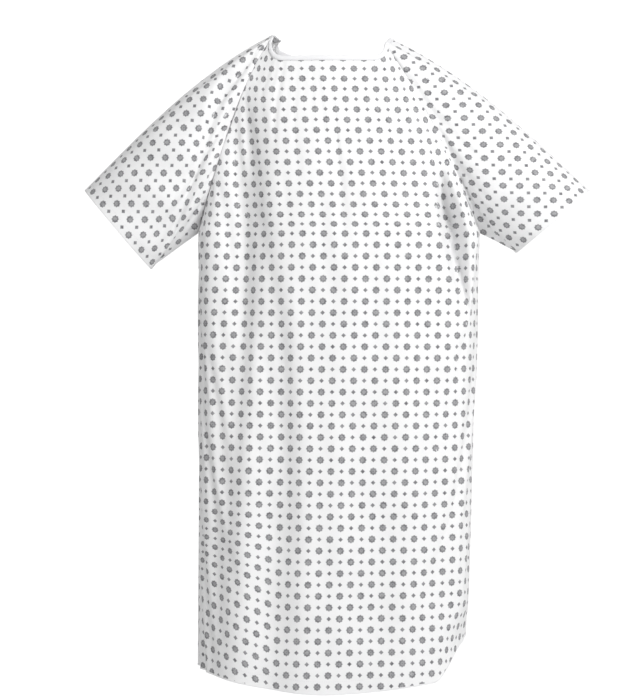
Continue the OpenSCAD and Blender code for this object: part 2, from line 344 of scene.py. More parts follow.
def backGrid(side, edge):
    t = np.concatenate([np.linspace(0, 1, grids["sideColumns"] + 1),
                        np.linspace(1, 2, grids["flapColumns"] + 1)[1:]])[None, :]
    v = rowShares(0.0)[:, None]
    top = backTop(side, t)
    pts = backAt(side, t, mix(top, -gown["length"], v))
    # the side seam is shared with the front panel
    pull = (1 - share(t / 0.5))[..., None] ** 2
    seam = edge[:, None, :]
    lower = (np.arange(len(edge)) >= grids["upperRows"])[:, None, None]
    return np.where(lower, mix(pts, pts - pts[:, :1] + seam, pull), pts)


def sleeveGrid(side, front, back):
    s = sides[side]
    rows = grids["upperRows"]
    edgeFront = front[:, -1 if side == "left" else 0][:rows + 1]
    edgeBack = back[:, 0][:rows + 1]
    k = np.linspace(0, 1, grids["neckColumns"] + 2)[1:-1, None]
    bow = gown["neckBow"] * np.sin(math.pi * k)
    neck = mix(edgeFront[0], edgeBack[0], k) + np.concatenate([bow * s["sign"], 0 * k, bow * 1.1], 1)
    loop = np.concatenate([edgeFront[::-1], neck, edgeBack])
    part = gown["raglanShare"]
    w = np.concatenate([np.linspace(0, part, rows + 1), mix(part, 1 - part, k[:, 0]),
                        np.linspace(1 - part, 1, rows + 1)])
    a = 2 * math.pi * w
    top, bottom = np.array(s["cuffTop"]), np.array(s["cuffBottom"])
    middle, arm = (top + bottom) / 2, (top - bottom) / 2
    up = unit(arm)
    lift = -np.cos(a)
    cuff = np.stack([s["sign"] * (middle[0] + arm[0] * lift), -np.sin(a) * gown["sleeveDepth"] / 2,
                     middle[1] + arm[1] * lift], -1)
    outward = np.stack([s["sign"] * up[0] * lift, -np.sin(a), up[1] * lift], -1)
    d = np.linspace(0, 1, grids["sleeveRows"] + 1)[:, None, None]
    swell = gown["shoulderRound"] * np.sin(math.pi * d ** 0.75) * ((1 - np.cos(a)) / 2)[None, :, None]
    return mix(loop[None], cuff[None], d) + outward[None] * swell


# each fold runs along its own line down the cloth, places in metres
# a step's right side stands forward when its depth is above zero, and a groove goes in
folds = {
    "rightDeepFold": {"kind": "step", "line": [(-0.10, -0.150), (-0.20, -0.140), (-0.43, -0.150),
                                              (-0.65, -0.168), (-0.90, -0.190), (-1.24, -0.232)],
                      "width": [(-0.10, 0.012), (-0.22, 0.022), (-0.45, 0.017), (-0.65, 0.009),
                                (-0.86, 0.012), (-1.24, 0.026)],
                      "depth": [(-0.10, 0.0), (-0.20, 0.046), (-0.45, 0.042), (-0.65, 0.024),
                                (-0.86, 0.022), (-1.24, 0.020)],
                      "recover": [(-0.10, 0.12), (-0.80, 0.10), (-1.24, 0.10)]},
    "rightSoftFold": {"kind": "step", "line": [(-0.34, -0.105), (-0.60, -0.084), (-0.85, -0.080),
                                              (-1.24, -0.092)],
                      "width": [(-0.34, 0.016), (-0.70, 0.016), (-1.24, 0.034)],
                      "depth": [(-0.34, 0.0), (-0.60, 0.017), (-0.80, 0.022), (-1.24, 0.018)],
                      "recover": [(-0.34, 0.10), (-1.24, 0.12)]},
    "middleRidge": {"kind": "step", "line": [(-0.60, 0.016), (-0.95, 0.020), (-1.24, 0.012)],
                    "width": [(-0.60, 0.012), (-1.24, 0.016)],
                    "depth": [(-0.60, 0.0), (-0.85, -0.010), (-1.24, -0.016)],
                    "recover": [(-0.60, 0.16), (-1.24, 0.16)]},
    "leftSlack": {"kind": "step", "line": [(-0.40, 0.150), (-1.24, 0.128)],
                  "width": [(-0.40, 0.050), (-1.24, 0.045)],
                  "depth": [(-0.36, 0.0), (-0.80, -0.008), (-1.24, -0.012)],
                  "recover": [(-0.36, 0.2), (-1.24, 0.2)]},
    "leftArmHollow": {"kind": "groove", "line": [(-0.26, 0.200), (-0.34, 0.216), (-0.50, 0.246)],
                      "width": [(-0.26, 0.012), (-0.36, 0.024), (-0.52, 0.010)],
                      "depth": [(-0.25, 0.0), (-0.33, 0.085), (-0.43, 0.065), (-0.56, 0.0)]},
    "rightArmCrease": {"kind": "groove", "line": [(-0.07, -0.208), (-0.15, -0.232), (-0.25, -0.262),
                                                 (-0.39, -0.322)],
                       "width": [(-0.07, 0.010), (-0.39, 0.013)],
                       "depth": [(-0.06, 0.0), (-0.12, 0.015), (-0.36, 0.018), (-0.43, 0.0)]},
    "leftArmCrease": {"kind": "step", "line": [(-0.17, 0.204), (-0.24, 0.230), (-0.33, 0.278),
                                              (-0.42, 0.345)],
                      "width": [(-0.17, 0.010), (-0.42, 0.012)],
                      "depth": [(-0.16, 0.0), (-0.24, 0.018), (-0.40, 0.026), (-0.45, 0.022)],
                      "recover": [(-0.16, 0.10), (-0.45, 0.10)]},
}
bodyFolds = ["rightDeepFold", "rightSoftFold", "middleRidge", "leftSlack", "leftArmHollow"]
sleeveFolds = {"right": ["rightArmCrease"], "left": ["leftArmCrease"]}


def along(points, z):
    # a smooth value at height z through (height, value) pairs
    heights = np.array([p[0] for p in points])[::-1]
    values = np.array([p[1] for p in points])[::-1]
    fine = np.linspace(-1.4, 0.2, 401)
    sampled = np.interp(fine, heights, values)
    kernel = np.hanning(27)
    padded = np.pad(sampled, 13, mode="edge")
    return np.interp(z, fine, np.convolve(padded, kernel / kernel.sum(), "valid"))


def foldRaise(names, x, z):
    total = np.zeros_like(x)
    for name in names:
        fold = folds[name]
        place = (x - along(fold["line"], z)) / along(fold["width"], z)
        depth = along(fold["depth"], z)
        if fold["kind"] == "step":
            # one side of the line stays where it is, the other drops back and then comes forward again
            lower = 0.5 * (1 - np.tanh(place * np.sign(depth)))
            away = share((along(fold["line"], z) - x) * np.sign(depth) / along(fold["recover"], z))
            total -= np.abs(depth) * lower * (1 - ease(away))
        else:
            total -= depth * np.exp(-place * place)
    return total


drape = {
    "fluteWave": 0.105,  # metres between the soft flutes near the hem
    "fluteDepth": 0.0035,
    "stray": 0.0016,  # small unevenness all over
    "frontHang": (0.35, 0.90),  # where the flutes start and over what length they grow
    "backHang": (0.10, 1.00),
    "backFluteWave": 0.120,
    "backFluteDepth": 0.007,
    "sleeveRipple": 0.0022,
    "hemLift": 0.041,  # the hem is higher at the sides
    "hemBand": (0.75, 0.49),
    "leftLift": 0.62,  # share of the lift on the wearer's left
    "curl": 0.030,  # how far the wearer's left corner turns back
    "curlLift": 0.070,
    "frontCurl": ((0.185, 0.070), (1.06, 0.18)),  # where it starts across and down, and over what length
    "backCurl": ((0.085, 0.150), (1.00, 0.24)),
    "firstRow": 0.0053,  # brings a whole row of print just below the binding
    "swing": 0.34,  # slope of the print rows beside the deep fold
    "swingBand": (0.86, 0.20),
}


def drapeFront(pts, names):
    x, z = pts[..., 0], pts[..., 2]
    out = pts.copy()
    facing = share(-pts[..., 1] / np.maximum(frontReach(z), 0.05))
    facing = ease(facing / 0.55)
    hang = between(-z, drape["frontHang"])
    flutes = drape["fluteDepth"] * hang * np.sin(2 * math.pi * x / drape["fluteWave"] + 0.8 + 1.2 * z)
    stray = drape["stray"] * np.sin(2 * math.pi * (x * 7.3 + z * 2.1))
    stray = stray * np.sin(2 * math.pi * (z * 3.7 - x * 2.2))
    out[..., 1] -= (foldRaise(names, x, z) + flutes + stray) * facing
    # the hem rises towards the sides, and the wearer's left corner curls back
    low = between(-z, drape["hemBand"])
    edge = share(np.abs(x + 0.02) / 0.25) ** 1.7 * np.where(x > -0.02, drape["leftLift"], 1.0)
    out[..., 2] += drape["hemLift"] * low * edge
    corner = between(x, drape["frontCurl"][0]) * between(-z, drape["frontCurl"][1])
    out[..., 1] += drape["curl"] * corner ** 2
    out[..., 2] += drape["curlLift"] * corner
    return out


def drapeBack(pts, side):
    x, z = pts[..., 0], pts[..., 2]
    out = pts.copy()
    facing = ease(share(pts[..., 1] / 0.06))
    hang = between(-z, drape["backHang"])
    phase = 0.4 if side == "left" else 2.1
    wave = np.sin(2 * math.pi * x / (drape["backFluteWave"] * (1 + 0.15 * np.sin(3 * z))) + phase)
    out[..., 1] += drape["backFluteDepth"] * hang * wave * facing
    low = between(-z, drape["hemBand"])
    out[..., 2] += drape["hemLift"] * low * (1.0 if side == "right" else drape["leftLift"])
    corner = between(x, drape["backCurl"][0]) * between(-z, drape["backCurl"][1])
    out[..., 2] += (drape["curlLift"] + 0.010) * corner
    return out


def drapeSleeve(pts, side):
    x, z = pts[..., 0], pts[..., 2]
    out = pts.copy()
    facing = ease(share(-pts[..., 1] / 0.07))
    # nothing moves on the seam, and the fold runs out over the first rows
    away = ease(np.linspace(0, 1, pts.shape[0]) / 0.12)[:, None]
    ripple = drape["sleeveRipple"] * np.sin(2 * math.pi * (np.abs(x) * 4.1 - z * 9.5))
    out[..., 1] -= (foldRaise(sleeveFolds[side], x, z) + ripple) * facing * away
    back = ease(share(pts[..., 1] / 0.07))
    out[..., 1] += 0.004 * np.sin(2 * math.pi * (np.abs(x) * 6.0 + z * 8.0)) * back * away
    return out


def lengths(pts, axis):
    steps = np.linalg.norm(np.diff(pts, axis=axis), axis=-1)
    first = np.zeros_like(np.take(steps, [0], axis=axis))
    return np.cumsum(np.concatenate([first, steps], axis=axis), axis=axis)


def grainOf(pts, start):
    # how far each point is across and along the flat cloth, from the column called start
    across = lengths(pts, 1)
    across = across - across[:, start:start + 1]
    # one stretch for each row, so that a fold in a few columns doesn't shear the rows below it
    drop = -np.diff(pts[..., 2], axis=0)
    stretch = np.median(np.linalg.norm(np.diff(pts, axis=0), axis=-1) / drop, axis=1)
    down = np.concatenate([0 * drop[:1], np.cumsum(drop * stretch[:, None], axis=0)])
    top = pts[:1, :, 2] - pts[:1, start:start + 1, 2]
    return np.stack([across, down - top, 0 * down], -1)


def shapePanels():
    front = frontGrid()
    panels = {}
    backs = {}
    for side, column in (("left", -1), ("right", 0)):
        backs[side] = backGrid(side, front[:, column])
        panels["sleeve_" + side] = {"pts": sleeveGrid(side, front, backs[side]),
                                    "sign": sides[side]["sign"]}
    draped = drapeFront(front, bodyFolds)
    # the print is laid out on cloth without the hollow, which would draw it out
    plain = drapeFront(front, [name for name in bodyFolds if name != "leftArmHollow"])
    panels["front"] = {"pts": draped, "sign": 1, "plain": plain}
    for side, column in (("left", -1), ("right", 0)):
        back = drapeBack(backs[side], side)
        edge = draped[:, column]
        pull = np.exp(-np.arange(back.shape[1]) / 5.0)[None, :, None]
        lower = (np.arange(len(edge)) >= grids["upperRows"])[:, None, None]
        back = np.where(lower, back + (edge[:, None] - back[:, :1]) * pull, back)
        panels["back_" + side] = {"pts": back, "sign": sides[side]["sign"]}
        sleeve = drapeSleeve(panels["sleeve_" + side]["pts"], side)
        rows = grids["upperRows"]
        # the sleeve's first row lies on the two raglan edges
        loop = np.concatenate([edge[:rows + 1][::-1], sleeve[0, rows + 1:-rows - 1], back[:rows + 1, 0]])
        fade = ((1 - np.linspace(0, 1, sleeve.shape[0])) ** 6)[:, None, None]
        panels["sleeve_" + side]["pts"] = sleeve + (loop[None] - sleeve[:1]) * fade
    return panels


panels = shapePanels()
middleColumn = grids["frontColumns"] // 2
panels["front"]["grain"] = grainOf(panels["front"]["plain"], middleColumn)
# the cloth swings off the straight below the deep fold, and its rows of print slope with it
placeX, placeZ = panels["front"]["pts"][..., 0], panels["front"]["pts"][..., 2]
swing = between(-placeZ, drape["swingBand"]) * share(-placeX - 0.110)
panels["front"]["grain"][..., 1] += drape["swing"] * swing + drape["firstRow"]
for side in sides:
    panels["back_" + side]["grain"] = grainOf(panels["back_" + side]["pts"], grids["sideColumns"] + 8)
    sleeve = panels["sleeve_" + side]
    around = lengths(sleeve["pts"][-1:], 1)
    around = around - around[:, sleeve["pts"].shape[1] // 2:][:, :1]
    out = lengths(sleeve["pts"], 0)
    out = out[-1:] - out
    sleeve["grain"] = np.stack([around + 0 * out, out, 0 * out], -1)
print("panels shaped")

settling = {
    "frames": 14,
    "gravity": 0.25,  # share of full weight, so that the folds soften without stretching the cloth
    "holdSeam": 1.0,
    "holdCloth": 0.12,  # how strongly the open cloth keeps its place
    "holdStiffness": 1.2,
    "mass": 0.15,
    "tension": 25.0,
    "shear": 8.0,
    "bending": 0.08,
    "quality": 6,
}


def settle(name, panel, seamsAt):
    # Blender's own cloth lets the panel hang from its seams, and the shape it comes to is kept
    pts = panel["pts"]
    rows, cols = pts.shape[:2]
    index = np.arange(rows * cols).reshape(rows, cols)
    quads = np.stack([index[:-1, :-1], index[1:, :-1], index[1:, 1:], index[:-1, 1:]], -1).reshape(-1, 4)
    mesh = bpy.data.meshes.new("settling")
    mesh.from_pydata(pts.reshape(-1, 3).tolist(), [], quads.tolist())
    thing = bpy.data.objects.new("settling", mesh)
    scene.collection.objects.link(thing)
    held = np.full((rows, cols), settling["holdCloth"])
    for edge in seamsAt:
        held[edge] = settling["holdSeam"]
    group = thing.vertex_groups.new(name="held")
    for value in np.unique(held):
        group.add(np.flatnonzero(held.ravel() == value).tolist(), float(value), "REPLACE")
    modifier = thing.modifiers.new("Cloth", "CLOTH")
    sim = modifier.settings
    sim.quality = settling["quality"]
    sim.mass = settling["mass"]
    sim.tension_stiffness = sim.compression_stiffness = settling["tension"]
    sim.shear_stiffness = settling["shear"]
    sim.bending_stiffness = settling["bending"]
    sim.vertex_group_mass = "held"
    sim.pin_stiffness = settling["holdStiffness"]
    sim.effector_weights.gravity = settling["gravity"]
    modifier.point_cache.frame_start = 1
    modifier.point_cache.frame_end = settling["frames"]
    for step in range(1, settling["frames"] + 1):
        scene.frame_set(step)
    settled = thing.evaluated_get(bpy.context.evaluated_depsgraph_get()).data
    moved = np.empty(rows * cols * 3, np.float32)
    settled.vertices.foreach_get("co", moved)
    moved = moved.reshape(rows, cols, 3).astype(float)
    print("  settled", name, "by at most %.1f mm" % (1000 * np.abs(moved - pts).max()))
    for edge in seamsAt:
        moved[edge] = pts[edge]
    panel["pts"] = moved
    bpy.data.objects.remove(thing)
    bpy.data.meshes.remove(mesh)
    scene.frame_set(1)


seamEdges = {"first": np.s_[:, 0], "last": np.s_[:, -1], "top": np.s_[0]}
settle("front", panels["front"], [seamEdges["top"], seamEdges["first"], seamEdges["last"]])
for side in sides:
    settle("back_" + side, panels["back_" + side], [seamEdges["top"], seamEdges["first"]])
    settle("sleeve_" + side, panels["sleeve_" + side],
           [seamEdges["top"], seamEdges["first"], seamEdges["last"]])
print("cloth settled")


motifs = {
    "pitch": {"X": 0.0200, "Y": 0.0212},  # metres between neighbouring motifs, large and small by turns
    "large": 0.0065,  # radius of the rosette
    "small": 0.0034,  # half width of the diamond
    "petals": 8.0,
    "petalDepth": 0.08,  # share of the rosette's radius
    "ring": (0.16, 0.48),  # inside and outside of the paler ring, as shares of the radius
    "ringPale": 0.24,
    "softEdge": 0.0009,  # where the ink has crept
    "ink": "#66666a",
    "reverseInk": "#d2d2d4",
    "cloth": "#f6f6f6",
    "clothShade": "#f2f2f3",
}
weave = {
    "percale": 0.0011,  # real threads are 0.25 mm apart, drawn coarser to show
    "tape": 0.0016,  # real ribs are 0.6 mm apart, drawn coarser to show
}


def mixColours(tree, amount, first, second):
    # either colour may be a fixed value or another node's output
    blend = addNode(tree, "ShaderNodeMix", {"data_type": "RGBA"}, {"Factor": amount})
    for place, source in ((6, first), (7, second)):
        if isinstance(source, tuple):
            blend.inputs[place].default_value = source
        else:
            tree.links.new(source, blend.inputs[place])
    return blend.outputs[2]


def finishShader(shader, values):
    shader.inputs["IOR"].default_value = 1.46  # cotton and polyester fibre
    for name, value in values.items():
        shader.inputs[name].default_value = value


def clothWeave(tree, shader, spacing, strength, angle=0.0):
    # crossed threads as a low bump, with slubs
    grain = addNode(tree, "ShaderNodeAttribute", {"attribute_name": "grain"})
    turned = addNode(tree, "ShaderNodeVectorRotate", {"rotation_type": "Z_AXIS", "Angle": angle},
                     {"Vector": grain.outputs["Vector"]})
    heights = []
    for direction in ("X", "Y"):
        threads = addNode(tree, "ShaderNodeTexWave",
                          {"bands_direction": direction, "Scale": math.pi / (10 * spacing),
                           "Distortion": 0.4, "Detail": 1.0},
                          {"Vector": turned.outputs["Vector"]})
        heights.append(threads.outputs["Fac"])
    crossed = addNode(tree, "ShaderNodeMath", {"operation": "MAXIMUM"}, {0: heights[0], 1: heights[1]})
    slub = addNode(tree, "ShaderNodeTexNoise", {"Scale": 140.0, "Detail": 3.0},
                   {"Vector": turned.outputs["Vector"]})
    both = addNode(tree, "ShaderNodeMath", {"operation": "MULTIPLY_ADD", "Value_002": 0.0},
                   {0: slub.outputs[0], 1: 0.6, 2: crossed.outputs[0]})
    bump = addNode(tree, "ShaderNodeBump", {"Strength": strength, "Distance": spacing * 0.25},
                   {"Height": both.outputs[0]})
    tree.links.new(bump.outputs["Normal"], shader.inputs["Normal"])
    return grain, slub


def percale(name, ink):
    # poly-cotton percale, plain woven and screen printed: matt, close and slightly fuzzy
    material, tree, shader = newMaterial(name)
    grain, slub = clothWeave(tree, shader, weave["percale"], 0.25)

    def calc(operation, a, b=0.0, c=0.0):
        return addNode(tree, "ShaderNodeMath", {"operation": operation}, {0: a, 1: b, 2: c}).outputs[0]

    axes = addNode(tree, "ShaderNodeSeparateXYZ", None, {"Vector": grain.outputs["Vector"]})
    cells, places = [], []
    for axis in ("X", "Y"):
        pitch = motifs["pitch"][axis]
        scaled = calc("MULTIPLY", axes.outputs[axis], 1 / pitch)
        whole = calc("FLOOR", scaled)
        cells.append(whole)
        places.append(calc("MULTIPLY", calc("SUBTRACT", calc("SUBTRACT", scaled, whole), 0.5), pitch))
    large = calc("FLOORED_MODULO", calc("ADD", cells[0], cells[1]), 2.0)
    radius = calc("SQRT", calc("ADD", calc("MULTIPLY", places[0], places[0]),
                               calc("MULTIPLY", places[1], places[1])))
    turn = calc("ARCTAN2", places[1], places[0])
    petals = calc("MULTIPLY_ADD", calc("COSINE", calc("MULTIPLY", turn, motifs["petals"])),
                  motifs["petalDepth"] * motifs["large"],
                  motifs["large"])
    soft = motifs["softEdge"]

    def inside(distance):
        edge = {"From Min": -soft, "From Max": soft, "To Min": 0.0, "To Max": 1.0}
        return addNode(tree, "ShaderNodeMapRange", edge, {"Value": distance}).outputs["Result"]

    rosette = inside(calc("SUBTRACT", petals, radius))
    ringIn, ringOut = motifs["ring"]
    ring = calc("SUBTRACT", inside(calc("SUBTRACT", ringOut * motifs["large"], radius)),
                inside(calc("SUBTRACT", ringIn * motifs["large"], radius)))
    rosette = calc("SUBTRACT", rosette, calc("MULTIPLY", ring, motifs["ringPale"]))
    diamond = inside(calc("SUBTRACT", motifs["small"] * 1.25,
                          calc("ADD", calc("ABSOLUTE", places[0]), calc("ABSOLUTE", places[1]))))
    motif = addNode(tree, "ShaderNodeMix", {"data_type": "FLOAT"},
                    {"Factor": large, "A": diamond, "B": rosette}).outputs["Result"]
    # the ink takes unevenly on the threads
    uneven = addNode(tree, "ShaderNodeMapRange", {"From Min": 0.3, "From Max": 0.7, "To Min": 0.70,
                                                  "To Max": 1.0}, {"Value": slub.outputs[0]})
    inked = calc("MULTIPLY", motif, uneven.outputs["Result"])
    washed = addNode(tree, "ShaderNodeTexNoise", {"Scale": 3.0, "Detail": 2.0},
                     {"Vector": grain.outputs["Vector"]})
    ground = mixColours(tree, washed.outputs[0], linear(motifs["cloth"]), linear(motifs["clothShade"]))
    colour = mixColours(tree, inked, ground, linear(ink))
    tree.links.new(colour, shader.inputs["Base Color"])
    finishShader(shader, {"Roughness": 0.88, "Specular IOR Level": 0.25, "Sheen Weight": 0.12,
                          "Sheen Roughness": 0.5})
    return material


def plainCloth(name, pale, dark, spacing, strength, angle, sheen):
    material, tree, shader = newMaterial(name)
    grain, slub = clothWeave(tree, shader, spacing, strength, angle)
    tree.links.new(mixColours(tree, slub.outputs[0], linear(pale), linear(dark)),
                   shader.inputs["Base Color"])
    finishShader(shader, {"Roughness": 0.85, "Specular IOR Level": 0.3, "Sheen Weight": sheen})
    return material


printedPercale = percale("printedPercale", motifs["ink"])
# the same cloth from its wrong side, where the ink shows through pale
percaleReverse = percale("percaleReverse", motifs["reverseInk"])
# cotton bias tape, cut across the grain and ironed: a smooth pale edge with diagonal threads
biasBinding = plainCloth("biasBinding", "#f5f5f6", "#ececee", weave["percale"], 0.25, math.radians(45),
                         0.1)
# woven cotton tape: white, matt, with close ribs
wovenTape = plainCloth("wovenTape", "#f4f4f4", "#e2e2e4", weave["tape"], 0.5, 0.0, 0.15)
# spun polyester sewing thread, twisted: small bright highlights on each stitch
sewingThread = plainCloth("sewingThread", "#f2f2f4", "#d8d8dc", 0.0008, 0.4, math.radians(30), 0.0)
# cloth edge closed by looped overlock thread: rows of small loops
overlockedEdge = plainCloth("overlockedEdge", "#eeeef0", "#c9c9cf", 0.0022, 0.8, math.radians(70), 0.05)
print("materials made")


def normalsOf(pts, sign):
    return sign * unit(np.cross(np.gradient(pts, axis=0), np.gradient(pts, axis=1)))


def makeObject(name, verts, faces, grain, materials, indices=None):
    mesh = bpy.data.meshes.new(name)
    mesh.from_pydata(verts.tolist(), [], faces)
    attribute = mesh.attributes.new("grain", "FLOAT_VECTOR", "POINT")
    attribute.data.foreach_set("vector", np.ascontiguousarray(grain, np.float32).ravel())
    for material in materials:
        mesh.materials.append(material)
    if indices is not None:
        mesh.polygons.foreach_set("material_index", indices)
    mesh.polygons.foreach_set("use_smooth", [True] * len(faces))
    mesh.update()
    mesh.set_sharp_from_angle(angle=math.radians(62))
    thing = bpy.data.objects.new(name, mesh)
    scene.collection.objects.link(thing)
    return thing


def clothParts(pts, grain, sign, thick, lift=0.0, first=0):
    # a closed thin sheet over a grid of points: outer face, inner face and rim
    n = normalsOf(pts, sign)
    rows, cols = pts.shape[:2]
    size = rows * cols
    outer = (pts + n * lift).reshape(-1, 3)
    inner = (pts + n * (lift - thick)).reshape(-1, 3)
    index = np.arange(size).reshape(rows, cols)
    a, b, c, d = index[:-1, :-1], index[:-1, 1:], index[1:, 1:], index[1:, :-1]
    quads = np.stack([a, d, c, b], -1).reshape(-1, 4)
    ring = np.concatenate([index[0, :-1], index[:-1, -1], index[-1, :0:-1], index[:0:-1, 0]])
    after = np.roll(ring, -1)
    rim = np.stack([ring, after, after + size, ring + size], -1)
    if sign < 0:
        quads, rim = quads[:, ::-1], rim[:, ::-1]
    faces = np.concatenate([quads, quads[:, ::-1] + size, rim]) + first
    indices = [0] * len(quads) + [1] * len(quads) + [0] * len(rim)
    grains = np.concatenate([grain.reshape(-1, 3)] * 2)
    return np.concatenate([outer, inner]), faces, grains, indices


def clothPiece(name, pts, grain, sign, thick, materials, lift=0.0):
    verts, faces, grains, indices = clothParts(pts, grain, sign, thick, lift)
    if len(materials) == 1:
        indices = None
    return makeObject(name, verts, faces.tolist(), grains, materials, indices)


def sample(grid, i, j):
    # a grid read between its points
    i = np.clip(np.asarray(i, float), 0, grid.shape[0] - 1)
    j = np.clip(np.asarray(j, float), 0, grid.shape[1] - 1)
    i0 = np.minimum(i.astype(int), grid.shape[0] - 2)
    j0 = np.minimum(j.astype(int), grid.shape[1] - 2)
    fi, fj = (i - i0)[..., None], (j - j0)[..., None]
    upper = mix(grid[i0, j0], grid[i0, j0 + 1], fj)
    lower = mix(grid[i0 + 1, j0], grid[i0 + 1, j0 + 1], fj)
    return mix(upper, lower, fi)


seams = {"dip": 0.0008, "allowance": 0.009, "thread": 0.0009}


def refineEdges(panel, left, right, top=False):
    # extra lines of points beside a seam, so that the cloth rolls into it
    rows, cols = panel["pts"].shape[:2]
    j = list(range(cols))
    if left:
        j = [0, 0.35] + j[1:]
    if right:
        j = j[:-1] + [cols - 1.35, cols - 1]
    i = list(range(rows))
    if top:
        i = [0, 0.35] + i[1:]
    ii, jj = np.meshgrid(np.array(i, float), np.array(j, float), indexing="ij")
    pts, grain = sample(panel["pts"], ii, jj), sample(panel["grain"], ii, jj)
    n = normalsOf(pts, panel["sign"])
    depth = np.zeros(pts.shape[:2])
    if left:
        depth[:, 0] = 1
    if right:
        depth[:, -1] = 1
    if top:
        depth[0] = 1
    return pts - n * (depth * seams["dip"])[..., None], grain


cloth = {"thick": 0.0006}


def blendFlap(piece):
    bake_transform(piece)


def dress(piece, nodes, flap=None):
    # a piece rides on the gown, or, for one of the back flaps, keeps its place baked into its points
    if flap:
        blendFlap(piece)
    else:
        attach(piece, "gown")
    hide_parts(*nodes)


bothFaces = [printedPercale, percaleReverse]
pts, grain = refineEdges(panels["front"], True, True)
front = clothPiece("frontPanel", pts, grain, 1, cloth["thick"], bothFaces)
dress(front, ["front_panel"])
for side in sides:
    pts, grain = refineEdges(panels["back_" + side], True, False)
    back = clothPiece("backPanel_" + side, pts, grain, sides[side]["sign"], cloth["thick"], bothFaces)
    dress(back, ["back_side_" + side, "back_flap_" + side], side)
    pts, grain = refineEdges(panels["sleeve_" + side], True, True, True)
    sleeve = clothPiece("sleeve_" + side + "_cloth", pts, grain, sides[side]["sign"], cloth["thick"],
                        bothFaces)
    dress(sleeve, ["sleeve_" + side])
print("panels made")


def joinParts(parts):
    verts, faces, grains, indices, first = [], [], [], [], 0
    for v, f, g, m in parts:
        verts.append(v)
        faces += [[int(k) + first for k in face] for face in f]
        grains.append(g)
        indices += list(m)
        first += len(v)
    return np.concatenate(verts), faces, np.concatenate(grains), indices


def partsPiece(name, parts, materials):
    verts, faces, grains, indices = joinParts(parts)
    return makeObject(name, verts, faces, grains, materials, indices)


def stripPart(pts, sign, thick, material=0):
    # a trim's own grain runs along and across it
    grain = np.stack([lengths(pts, 1), lengths(pts, 0), 0 * pts[..., 0]], -1)
    v, f, g, _ = clothParts(pts, grain, sign, thick)
    return v, f, g, [material] * len(f)


def band(panel, edge, levels, first=0.0, last=None, count=None):
    # rows of points beside an edge of a panel, each at a height from the edge and a lift off the cloth
    grid = panel["pts"]
    n = normalsOf(grid, panel["sign"])
    rows, cols = grid.shape[:2]
    row = edge in ("firstRow", "lastRow")
    size, depth = (cols, rows) if row else (rows, cols)
    last = size - 1 if last is None else last
    count = count or int(round(last - first)) + 1
    k = np.linspace(first, last, count)
    start, inward = (0, 1) if edge.startswith("first") else (depth - 1, -1)

    def read(source, away):
        other = start + inward * away
        return sample(source, other, k) if row else sample(source, k, other)

    base, inner = read(grid, 0 * k), read(grid, 0 * k + 1)
    step = np.linalg.norm(inner - base, axis=-1)
    out = []
    for height, lift in levels:
        away = max(height, 0.0) / step
        out.append(read(grid, away) + unit(read(n, away)) * lift
                   + (base - inner) / step[:, None] * max(-height, 0.0))
    return np.array(out)


stitch = {
    "pitch": 0.0042,  # real stitches are 2.8 mm apart, drawn coarser to show
    "length": 0.0030,
    "radius": 0.00035,
}


def stitchPart(line, out, pitch, length, radius, material=1):
    # a run of machine stitches, each a small plump lozenge lying on the cloth
    run = np.concatenate([[0], np.cumsum(np.linalg.norm(np.diff(line, axis=0), axis=-1))])
    places = np.arange(pitch / 2, run[-1] - pitch / 2, pitch)
    c = np.stack([np.interp(places, run, line[:, k]) for k in range(3)], -1)
    ahead = np.stack([np.interp(places + length / 2, run, line[:, k]) for k in range(3)], -1)
    n = unit(np.stack([np.interp(places, run, out[:, k]) for k in range(3)], -1))
    t = unit(ahead - c)
    b = unit(np.cross(n, t))
    corners = [c - t * length / 2, c + b * radius, c + n * radius, c - b * radius, c - n * radius,
               c + t * length / 2]
    verts = np.stack(corners, 1).reshape(-1, 3)
    faces = []
    for i in range(len(c)):
        f = 6 * i
        for p, q in ((1, 2), (2, 3), (3, 4), (4, 1)):
            faces += [[f, f + q, f + p], [f + 5, f + p, f + q]]
    grain = np.stack([np.repeat(places, 6), verts[:, 2], 0 * verts[:, 2]], -1)
    return verts, faces, grain, [material] * len(faces)


def stitchesBeside(panel, edge, height, lift, first=0.0, last=None):
    line, above = band(panel, edge, [(height, lift), (height, lift + 0.001)], first, last)
    return stitchPart(line, above - line, stitch["pitch"], stitch["length"], stitch["radius"])


hem = {
    "height": 0.026,
    "cuff": 0.020,
    "facing": 0.022,
    "fabric": 0.0005,
    "stitchIn": 0.002,  # from the hem's upper edge
    "stitchUp": 0.0001,
}


def turnedLevels(height):
    # round the raw edge of the panel and back up the inside, with the raw edge tucked under
    return [(0.0022, 0.0004), (0.0, 0.0005), (-0.0010, 0.0), (-0.0010, -0.0012), (0.0008, -0.0018),
            (height * 0.4, -0.0017), (height * 0.85, -0.0018), (height, -0.0020),
            (height + 0.0006, -0.0012)]


def turnedEdge(name, panel, edge, height, sign, *span):
    # a turned edge with its row of stitches; span is its first and last place and how many there are
    strip = stripPart(band(panel, edge, turnedLevels(height), *span), sign, hem["fabric"])
    stitches = stitchesBeside(panel, edge, height - hem["stitchIn"], hem["stitchUp"], *span[:2])
    return partsPiece(name, [strip, stitches], [printedPercale, sewingThread])


